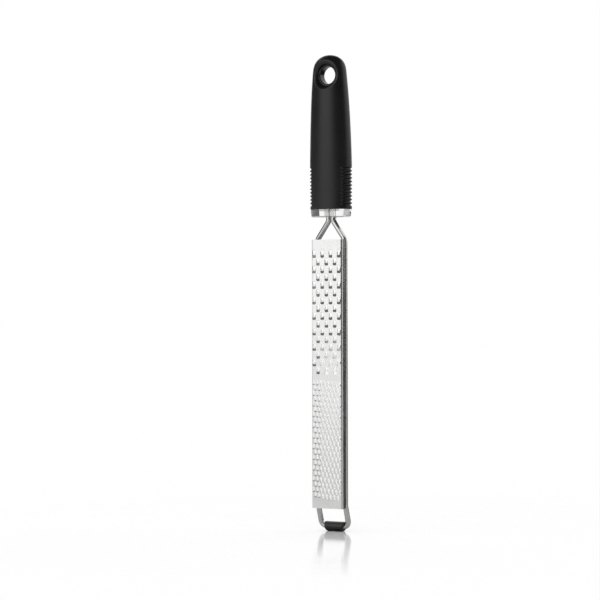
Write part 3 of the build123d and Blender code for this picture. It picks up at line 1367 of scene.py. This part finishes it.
@dataclass(frozen=True)
class GripForm:
    """The grip's outline, which the grip and the core inside it both follow.

    Tables give its width and its forward bow, as shares, at shares of its height.
    """

    base: float
    top: float
    half_width: float = 15.75 * MM
    half_depth: float = 11.0 * MM
    bow: float = 1.4 * MM
    hole_drop: float = 14.2 * MM
    height_shares: tuple[float, ...] = (0.0, 0.12, 0.30, 0.42, 0.54, 0.66, 0.78, 0.87)
    width_shares: tuple[float, ...] = (0.992, 1.0, 1.0, 0.982, 0.955, 0.918, 0.868, 0.815)
    bow_shares: tuple[float, ...] = (0.0, 0.0, 0.08, 0.20, 0.38, 0.60, 0.84, 1.0)
    dome_fall_share: float = 0.094
    dome_power: float = 3.25

    @property
    def hole_level(self) -> float:
        """Level of the hanging hole's centre."""
        return self.top - self.hole_drop

    def share(self, level: np.ndarray) -> np.ndarray:
        """Levels as shares of the grip's length."""
        return np.clip((np.asarray(level) - self.base) / (self.top - self.base), 0, 1)

    def width_share(self, level: np.ndarray) -> np.ndarray:
        """Width at a level, as a share of the full one.

        Below the shoulder it follows the table. Above it a dome of power 3.25 closes: the
        shoulder's share times the square root of 1 - t^3.25, less a slight taper.

        Args:
            level: The levels.

        Returns:
            The share at each level.
        """
        share = self.share(level)
        shoulder = self.height_shares[-1]
        body = smooth_table(np.minimum(share, shoulder), self.height_shares, self.width_shares)
        t = np.clip((share - shoulder) / (1 - shoulder), 0, 1)
        closing = np.sqrt(np.maximum(1 - t**self.dome_power, 0))
        return body * closing * (1 - self.dome_fall_share * t)

    def middle(self, level: np.ndarray) -> np.ndarray:
        """The y of the grip's centre line, which leans forward towards the top."""
        share = np.minimum(self.share(level), self.height_shares[-1])
        return -self.bow * smooth_table(share, self.height_shares, self.bow_shares)


@dataclass
class HandleCore:
    """The hard core: a stem with the tangs' slot, and the eyelet that lines the hole."""

    finish: bpy.types.Material
    form: GripForm
    base_half: Pair = (12.6 * MM, 8.4 * MM)
    stem_half: Pair = (9.4 * MM, 6.2 * MM)
    neck_half: Pair = (5.2 * MM, 2.5 * MM)
    base_height: float = 4.0 * MM
    slot: TangSlot = TangSlot()
    slot_height: float = 56.75 * MM
    eyelet_radius: float = 6.0 * MM
    eyelet_wall: float = 1.7 * MM
    eyelet_half_length: float = 3.4 * MM
    eyelet_edge: float = 0.9 * MM
    stem_rings: int = 12
    edge_lines: int = 8
    columns: int = 96
    crease: float = 40.0

    @property
    def stem_top(self) -> float:
        """Level where the stem ends under the eyelet."""
        return self.form.hole_level - self.eyelet_radius - self.eyelet_wall

    def stem_rows(self, angle: np.ndarray, grow: float) -> np.ndarray:
        """Rows of the base and the stem, from the base's underside up.

        Args:
            angle: Angles round the stem.
            grow: How far outside the real surface the rows lie.

        Returns:
            A grid of points that ends in the stem's top outline.
        """
        base, top = self.form.base, self.stem_top
        shoulder = base + self.base_height
        stem = np.linspace(shoulder, top, self.stem_rings)
        t = smooth_step((stem - (base + top) / 2) / ((top - base) / 2))
        wide = self.stem_half[0] * (1 - t) + self.neck_half[0] * t
        deep = self.stem_half[1] * (1 - t) + self.neck_half[1] * t
        level = np.concatenate([[base, shoulder], stem])
        outline = ellipse(np.concatenate([[self.base_half[0]] * 2, wide]) + grow,
                          np.concatenate([[self.base_half[1]] * 2, deep]) + grow, angle)
        y = outline[..., 1] + self.form.middle(level)[:, None]
        z = np.broadcast_to(level[:, None], y.shape)
        return np.stack([outline[..., 0], y, z], axis=-1)

    def build(self) -> bpy.types.Object:
        """Join the stem, with its slot, and the eyelet in one object.

        The stem is one grid from its top's middle down its wall, in over its underside and
        up the slot. The eyelet is a rounded rectangle carried round the hole's axis.

        Returns:
            The core's object.
        """
        angle = full_turn(self.columns)
        wall = self.stem_rows(angle, 0.0)[::-1]
        tip = np.broadcast_to(wall[0].mean(axis=0), wall[:1].shape)
        slot = self.slot.outline(angle)
        foot, end = self.form.base, self.form.base + self.slot_height
        low, high = (np.column_stack([slot, np.full(len(slot), level)])[None]
                     for level in (foot, end))
        shut = np.broadcast_to(np.array([0.0, 0.0, end]), high.shape)
        skin = Skin("handle_core_hard")
        skin.add_grid(np.concatenate([tip, wall, low, high, shut]))
        skin.add_grid(self.eyelet())
        return settle(skin.build([self.finish], self.crease), "handle_core")

    def eyelet(self) -> np.ndarray:
        """Carry the eyelet's profile round the hole: bore, two quarter circles, outer wall.

        Returns:
            The eyelet's grid.
        """
        quarter = quarter_turn(self.edge_lines)
        edge, half = self.eyelet_edge, self.eyelet_half_length
        turn = self.eyelet_radius + edge * (1 - np.sin(quarter))
        outer = self.eyelet_radius + self.eyelet_wall
        reach = np.concatenate([turn, turn[::-1], [outer, outer, turn[0]]])
        deep = half - edge * (1 - np.cos(quarter))
        along = np.concatenate([-deep, deep[::-1], [half, -half, -deep[0]]])
        angle = full_turn(self.columns)[:, None]
        level = self.form.hole_level
        y = np.broadcast_to(along + self.form.middle(level), (len(angle), len(along)))
        return np.stack([reach * np.sin(angle), y, level + reach * np.cos(angle)], axis=-1)


@dataclass
class SoftGrip:
    """The soft rubber grip: an oval body with finned sides, and a head round a dished hole."""

    finish: bpy.types.Material
    form: GripForm
    core: HandleCore
    edge_radius: float = 0.6 * MM
    split_drop: float = 11.8 * MM
    fin_grooves: int = 11
    fin_pitch: float = 2.5 * MM
    fin_depth: float = 1.25 * MM
    fin_start: float = 3.1 * MM
    fin_half_span: float = 6.3 * MM
    fin_fade: float = 2.8 * MM
    fin_wave: float = 0.62
    flare_radius: float = 10.2 * MM
    cavity_gap: float = 0.02 * MM
    front_columns: int = 64
    side_columns: int = 44
    plain_rows: int = 56
    fin_rows: int = 190
    end_rows: int = 7
    outline_points: int = 4000
    face_rows: int = 26
    dish_rows: int = 14
    easing_rounds: int = 3
    crease: float = 50.0

    @property
    def split(self) -> float:
        """Level where the body ends and the head begins."""
        return self.form.hole_level - self.split_drop

    def grooves(self, level: np.ndarray, y: np.ndarray) -> np.ndarray:
        """Depth of the grooves between the fins.

        Along the grip it is a raised cosine of the fins' pitch, flattened on the crests.
        Across it fades out at the fins' ends.

        Args:
            level: The levels.
            y: Distances from the grip's middle, towards the back.

        Returns:
            The depth at each level and distance.
        """
        phase = (level - self.form.base - self.fin_start) / self.fin_pitch
        inside = (phase > -0.5) & (phase < self.fin_grooves - 0.5)
        wave = smooth_step(0.5 + self.fin_wave * np.cos(2 * np.pi * phase)) * inside
        ends = smooth_step((self.fin_half_span - np.abs(y)) / self.fin_fade + 0.5)
        return self.fin_depth * wave * ends

    @property
    def front_angles(self) -> np.ndarray:
        """Angles over the front half, from left to right."""
        return np.linspace(-np.pi / 2, np.pi / 2, self.front_columns + 1)

    def body_columns(self) -> np.ndarray:
        """Angles round the body: the front half's columns, then the back half's."""
        return np.concatenate([self.front_angles, self.front_angles[1:] + np.pi])

    def section(self, level: np.ndarray, angle: np.ndarray) -> np.ndarray:
        """Points of the grip's oval sections, with the grooves cut into them.

        Args:
            level: Level of each section.
            angle: Angles round the grip, from -Y towards +X.

        Returns:
            A row of points for each level.
        """
        share = self.form.width_share(level)[:, None]
        wide, deep = self.form.half_width * share, self.form.half_depth * share
        cut = self.grooves(level[:, None], deep * np.cos(angle))
        x = (wide - cut) * np.sin(angle)
        y = self.form.middle(level)[:, None] - (deep - cut) * np.cos(angle)
        return np.stack([x, y, np.broadcast_to(level[:, None], x.shape)], axis=-1)

    def body(self) -> np.ndarray:
        """Run from the split down the wall, over the rounded end and up the core's cavity.

        Returns:
            The body's grid.
        """
        base, angle = self.form.base, self.body_columns()
        fins_top = base + self.fin_start + self.fin_grooves * self.fin_pitch
        upper = np.linspace(self.split, fins_top, self.plain_rows)
        lower = np.linspace(fins_top, base + self.edge_radius, self.fin_rows)[1:]
        wall = self.section(np.concatenate([upper, lower]), angle)
        turn = quarter_turn(self.end_rows)[1:]
        inset = self.edge_radius * (1 - np.cos(turn))[:, None]
        end = self.section(np.array([base]), angle)[0]
        share = self.form.width_share(np.array([base]))[0]
        shrink_x = 1 - inset / (self.form.half_width * share)
        shrink_y = 1 - inset / (self.form.half_depth * share)
        rim = np.stack([
            end[:, 0] * shrink_x, end[:, 1] * shrink_y,
            np.broadcast_to(base + self.edge_radius * (1 - np.sin(turn))[:, None],
                            (len(turn), len(angle)))], axis=-1)
        cavity = self.core.stem_rows(angle, self.cavity_gap)
        top = np.broadcast_to(cavity[-1].mean(axis=0), cavity[:1].shape)
        return np.concatenate([wall, rim, cavity, top])

    def outline(self) -> tuple[np.ndarray, np.ndarray]:
        """The head's border in the XZ plane, as seen from the hole's centre.

        It runs along the split from left to right, in step with the body's columns, then
        up the right side, over the dome and down the left side. On the sides a point is
        where a ray from the hole's centre meets the outline.

        Returns:
            The points, closed, and a mask of those that lie on the outline itself.
        """
        centre, split = self.form.hole_level, self.split
        angle = self.front_angles
        reach = self.form.half_width * self.form.width_share(np.array([split]))[0]
        bottom = np.stack([reach * np.sin(angle), np.full(len(angle), split)], axis=-1)
        share = np.linspace(0, 1, self.outline_points) ** 2
        dense = self.form.top - (self.form.top - split) * share
        wide = self.form.half_width * self.form.width_share(dense)
        ray = np.arctan2(wide, dense - centre)
        distance = np.hypot(wide, dense - centre)
        corner = math.atan2(reach, split - centre)
        right = np.linspace(corner, 0, self.side_columns + 1)
        far = np.interp(right, ray, distance)
        side = np.stack([far * np.sin(right), centre + far * np.cos(right)], axis=-1)
        side[0] = bottom[-1]
        left = (side * [-1, 1])[::-1]
        points = np.concatenate([bottom, side[1:], left[1:]])
        on_outline = np.arange(len(points)) >= self.front_columns
        on_outline[0] = True
        return points, on_outline

    def head(self, front: bool) -> np.ndarray:
        """One half of the head: rows from the hole's lining out to the border.

        The dish is an arc that leaves the eyelet along Y and ends on the oval surface. The
        rows outside it crowd towards the border, as 1 - (1 - t)^2, because the surface
        turns over there. The ridge between dish and surface is eased by averaging.

        Args:
            front: Whether it is the front half.

        Returns:
            The half's grid.
        """
        way = -1.0 if front else 1.0
        border, on_outline = self.outline()
        centre = self.form.hole_level
        offset = border - [0.0, centre]
        distance = np.linalg.norm(offset, axis=1)
        ray = offset / distance[:, None]
        t = np.linspace(0, 1, self.face_rows)[:, None]
        reach = self.flare_radius + (distance - self.flare_radius) * (1 - (1 - t) ** 2)
        x, z = reach * ray[:, 0], centre + reach * ray[:, 1]
        wide = np.maximum(self.form.half_width * self.form.width_share(z), HAIR)
        bulge = np.sqrt(np.clip(1 - (x / wide) ** 2, 0, 1))
        bulge[-1, on_outline] = 0.0
        deep = self.form.half_depth * self.form.width_share(z) * bulge
        y = self.form.middle(z) + way * deep
        face = np.stack([x, y, z], axis=-1)
        dish = self.dish(face[0], ray, way)
        grid = np.concatenate([dish[:-1], face])
        ridge = len(dish) - 1
        for _ in range(self.easing_rounds):
            near = slice(ridge - 2, ridge + 3)
            before, after = grid[ridge - 3:ridge + 2], grid[ridge - 1:ridge + 4]
            grid[near] = (before + 2 * grid[near] + after) / 4
        return grid

    def dish(self, rim: np.ndarray, ray: np.ndarray, way: float) -> np.ndarray:
        """The dished lining, from the eyelet's end out to the rim that it is given.

        Args:
            rim: Points of the rim on the oval surface.
            ray: Direction of each rim point from the hole's axis.
            way: -1 on the front, 1 on the back.

        Returns:
            Rows from inside the eyelet's seat to the rim.
        """
        core, centre = self.core, self.form.hole_level
        middle = self.form.middle(np.array([centre]))[0]
        start = core.eyelet_radius + core.eyelet_edge
        seat = core.eyelet_radius + core.eyelet_wall
        half = core.eyelet_half_length
        run = self.flare_radius - start
        rise = np.abs(rim[:, 1] - middle) - half
        radius = (run**2 + rise**2) / (2 * run)
        turn = 2 * np.arctan2(run, rise)
        angle = np.linspace(0, 1, self.dish_rows)[:, None] * turn
        reach = start + radius * (1 - np.cos(angle))
        height = half + radius * np.sin(angle)
        seat_row = np.full(len(rim), seat)
        reach = np.concatenate([[seat_row, seat_row], reach])
        height = np.concatenate([[np.zeros(len(rim)), np.full(len(rim), half)], height])
        return np.stack([reach * ray[:, 0], middle + way * height,
                         centre + reach * ray[:, 1]], axis=-1)

    def build(self) -> bpy.types.Object:
        """Join the body and both halves of the head in one closed skin.

        Returns:
            The grip's object.
        """
        skin = Skin("soft_grip_rubber")
        skin.add_grid(self.body())
        skin.add_grid(self.head(front=True))
        skin.add_grid(self.head(front=False))
        return settle(skin.build([self.finish], self.crease), "soft_grip")


# Light, floor and camera


@dataclass(frozen=True)
class Card:
    """A curved reflector or flag, seen only in what the tool mirrors or else refracts.

    Its ends are angles in degrees, counted from the camera's side towards the right of
    the picture. Its edges' levels and its distance from the tool are in metres. Its
    strength runs from its lower edge to its upper one, which stands nearer to the tool by
    the lean.
    """

    name: str
    start: float
    end: float
    low: float
    high: float
    radius: float
    strength: Pair
    ray: Ray = Ray.MIRROR
    lean: float = 0.0


@dataclass
class Studio:
    """A pale floor, soft even light, reflection cards and the photograph's camera."""

    # Name, start and end, lower and upper level, radius, strength.
    cards: tuple[Card, ...] = (
        Card("soft_card", -92.0, -8.0, -0.02, 0.32, 2.5, (1.0, 1.6)),
        Card("high_soft_card", -78.0, -27.0, 0.32, 0.62, 2.5, (0.6, 0.6)),
        Card("key_card", -78.0, -32.0, 0.72, 2.4, 2.6, (1.75, 1.75)),
        Card("dark_card", -6.0, 62.0, -0.02, 0.225, 1.5, (0.05, 0.05)),
        Card("high_dark_card", -23.0, 70.0, 0.225, 1.7, 1.5, (0.05, 0.05)),
        Card("low_dark_card", 96.0, 136.0, -0.02, 0.28, 1.1, (0.03, 0.03)),
        Card("left_flag", -150.0, -76.0, 0.235, 0.9, 0.9, (0.14, 0.14)),
        Card("crown_flag", -180.0, 180.0, 0.46, 0.47, 0.16, (0.06, 0.06), lean=0.16),
        Card("ring_flag", 108.0, 160.0, 0.1, 1.2, 1.1, (0.12, 0.12), Ray.REFRACTION),
    )
    card_columns: int = 33
    card_rows: int = 9
    flag_length: float = 95.0 * MM
    flag_reach: float = 9.0 * MM
    flag_fade: float = 30.0 * MM
    flag_shade: Shade = (0.13, 0.13, 0.13, 1.0)
    floor_reach: float = 12.0
    sector_middle: float = 116.0
    sector_half: float = 20.0
    floor_shade: Shade = (0.998, 0.998, 0.998, 1.0)
    unseen_shade: Shade = (0.5, 0.5, 0.5, 1.0)
    sector_shade: Shade = (0.03, 0.03, 0.03, 1.0)
    mirror_level: float = 0.6
    mirror_roughness: float = 0.1
    mirror_refraction: float = 1.45
    mirror_near: float = 0.08
    mirror_far: float = 0.3
    pixel: float = 0.697 * MM
    frame_pixels: int = 600
    turn: float = math.radians(32.0)
    roll: float = math.radians(0.15)
    distance: float = 1.8
    axis_pixel: float = 331.35
    floor_pixel: float = 531.7
    sensor: float = 36.0

    @property
    def forward(self) -> np.ndarray:
        """Level direction from the camera to the tool."""
        return np.array([-math.sin(self.turn), math.cos(self.turn), 0.0])

    @property
    def right(self) -> np.ndarray:
        """Direction towards the right of the picture."""
        return np.array([math.cos(self.turn), math.sin(self.turn), 0.0])

    def camera(self) -> None:
        """Set the camera level, turned and as far away as in the photograph."""
        data = bpy.data.cameras.new("camera")
        middle = self.frame_pixels / 2
        aside = (self.axis_pixel - middle) * self.pixel
        up = (self.floor_pixel - middle) * self.pixel
        place = -self.forward * self.distance - self.right * aside
        data.sensor_width = self.sensor
        data.lens = self.sensor * self.distance / (self.frame_pixels * self.pixel)
        camera = bpy.data.objects.new("camera", data)
        camera.location = (place[0], place[1], up)
        camera.rotation_euler = (math.pi / 2, self.roll, self.turn)
        bpy.context.scene.collection.objects.link(camera)
        bpy.context.scene.camera = camera

    def world(self) -> None:
        """Light the scene evenly, with a white surround for the camera and for gloss."""
        world = bpy.data.worlds.new("surround")
        world.use_nodes = True
        background = world.node_tree.nodes["Background"]
        background.inputs["Color"].default_value = (1.0, 1.0, 1.0, 1.0)
        background.inputs["Strength"].default_value = 1.0
        bpy.context.scene.world = world

    def card(self, card: Card) -> None:
        """Stand a curved card round the tool.

        Args:
            card: Its place, size and brightness.
        """
        angle = np.radians(np.linspace(card.start, card.end, self.card_columns))
        level = np.linspace(card.low, card.high, self.card_rows)
        flat = -self.forward * np.cos(angle)[:, None] + self.right * np.sin(angle)[:, None]
        reach = np.linspace(card.radius, card.radius - card.lean, len(level))
        grid = reach[:, None, None] * flat
        grid[..., 2] = level[:, None]
        material, graph = new_material(card.name)
        place = graph.add("ShaderNodeNewGeometry")
        height = graph.add("ShaderNodeSeparateXYZ", Vector=place.outputs["Position"])
        strength = graph.span(height.outputs[2], card.low, card.high, *card.strength)
        emit = graph.add("ShaderNodeEmission", Strength=strength)
        graph.surface(emit.outputs[0])
        sheet = stage_sheet(card.name, grid, material, (card.ray,))

    def flag(self, low: float, high: float, reach: float) -> None:
        """Hang a dark sheet behind the coarse teeth, between the rails, as painted shade.

        It darkens the mouths as seen through them, though no dark thing stands there. Only the
        camera sees it, and only from in front, and it fades out at its lower end.

        Args:
            low: Level of its lower edge.
            high: Level of its upper edge.
            reach: Half its width.
        """
        material, graph = new_material("painted_mouth_shade")
        place = graph.add("ShaderNodeNewGeometry")
        height = graph.add("ShaderNodeSeparateXYZ", Vector=place.outputs["Position"])
        fade = graph.span(height.outputs[2], low, low + self.flag_fade)
        front = graph.math("SUBTRACT", 1.0, place.outputs["Backfacing"])
        clear = graph.add("ShaderNodeBsdfTransparent")
        # Painted shade: a dark emission that looks the same under any light.
        dark = graph.add("ShaderNodeEmission", Color=self.flag_shade, Strength=1.0)
        seen = graph.math("MULTIPLY", fade, front)
        graph.surface(graph.blend(seen, clear.outputs[0], dark.outputs[0]))
        x, z = np.meshgrid(np.linspace(-reach, reach, 2), np.linspace(low, high, 2))
        grid = np.stack([x, np.zeros_like(x), z], axis=-1)
        sheet = stage_sheet("painted_mouth_shade", grid, material, (Ray.CAMERA,))

    def floor(self) -> None:
        """Lay a pale floor that mirrors the foot, and less and less of what stands higher.

        The mirror fades into a matt floor with the distance from the tool. Rays that don't
        come from the camera find the floor darker, and nearly black in one sector.
        """
        material, graph = new_material("floor_sheet")
        path = graph.add("ShaderNodeLightPath")
        position = graph.add("ShaderNodeNewGeometry").outputs["Position"]
        # Painted shade in reflections: rays other than the camera's find the floor mid grey, and
        # nearly black in the sector behind and to the right that the blade's flange and the wire
        # mirror.
        aim = math.radians(self.sector_middle)
        middle = math.sin(aim) * self.right - math.cos(aim) * self.forward
        heading = graph.vector_math("NORMALIZE", position).outputs["Vector"]
        facing = graph.vector_math("DOT_PRODUCT", heading, tuple(middle)).outputs["Value"]
        inside = graph.math("GREATER_THAN", facing, math.cos(math.radians(self.sector_half)))
        unseen = graph.mix(inside, self.unseen_shade, self.sector_shade)
        shade = graph.mix(path.outputs["Is Camera Ray"], unseen, self.floor_shade)
        mirror = graph.tree.nodes["Principled BSDF"]
        graph.feed(mirror.inputs["Base Color"], shade)
        graph.feed(mirror.inputs["Specular IOR Level"], self.mirror_level)
        graph.feed(mirror.inputs["Roughness"], self.mirror_roughness)
        graph.feed(mirror.inputs["IOR"], self.mirror_refraction)
        matt = graph.add("ShaderNodeBsdfPrincipled", Base_Color=shade, Specular_IOR_Level=0.0,
                         Roughness=1.0)
        away = graph.vector_math("LENGTH", position).outputs["Value"]
        fade = graph.span(away, self.mirror_near, self.mirror_far)
        graph.surface(graph.blend(fade, mirror.outputs["BSDF"], matt.outputs["BSDF"]))
        side = np.linspace(-self.floor_reach, self.floor_reach, 3)
        x, y = np.meshgrid(side, side)
        sheet = stage_sheet("floor", np.stack([x, y, np.zeros_like(x)], axis=-1), material,
                            tuple(Ray))

    def build(self, blade_box: tuple) -> None:
        """Set up the camera, the world, the floor, the cards, the flag and plain colours.

        Args:
            blade_box: Corners of the blade, which the flag hangs behind.
        """
        self.camera()
        self.world()
        self.floor()
        for card in self.cards:
            self.card(card)
        top = blade_box[1].z
        self.flag(top - self.flag_length, top, self.flag_reach)
        bpy.context.scene.view_settings.view_transform = "Standard"


def main() -> None:
    """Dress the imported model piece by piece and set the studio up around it."""
    logging.basicConfig(level=logging.INFO, format="%(name)s %(message)s")
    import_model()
    effects = Effects()
    rubber = SoftRubber("soft_touch_rubber", shade=(0.0048, 0.0048, 0.0051, 1.0),
                        roughness=0.4).make(effects)
    tube = SoftRubber("sleeve_rubber", shade=(0.006, 0.006, 0.006, 1.0),
                      roughness=0.3).make(effects)
    hard = HardPlastic("gloss_black_plastic", shade=(0.009, 0.009, 0.009, 1.0)).make(effects)
    clear = ClearPlastic("clear_plastic").make(effects)
    wire = DrawnWire("drawn_steel_wire").make(effects)
    satin = SatinSheet("satin_steel_sheet").make(effects)
    sheared = SatinSheet("sheared_steel_edge", shade=(0.62, 0.62, 0.61, 1.0),
                         roughness=0.34).make(effects)
    grip_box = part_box("soft_grip")
    form = GripForm(base=grip_box[0].z, top=grip_box[1].z)
    core = HandleCore(hard, form)
    WireFrame(wire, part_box("wire_frame")).build()
    Blade(satin, sheared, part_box("blade")).build()
    FootSleeve(tube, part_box("foot_sleeve")).build()
    Collar(clear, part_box("collar")).build()
    core.build()
    SoftGrip(rubber, form, core).build()
    Studio().build(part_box("blade"))


if __name__ == "__main__":
    main()
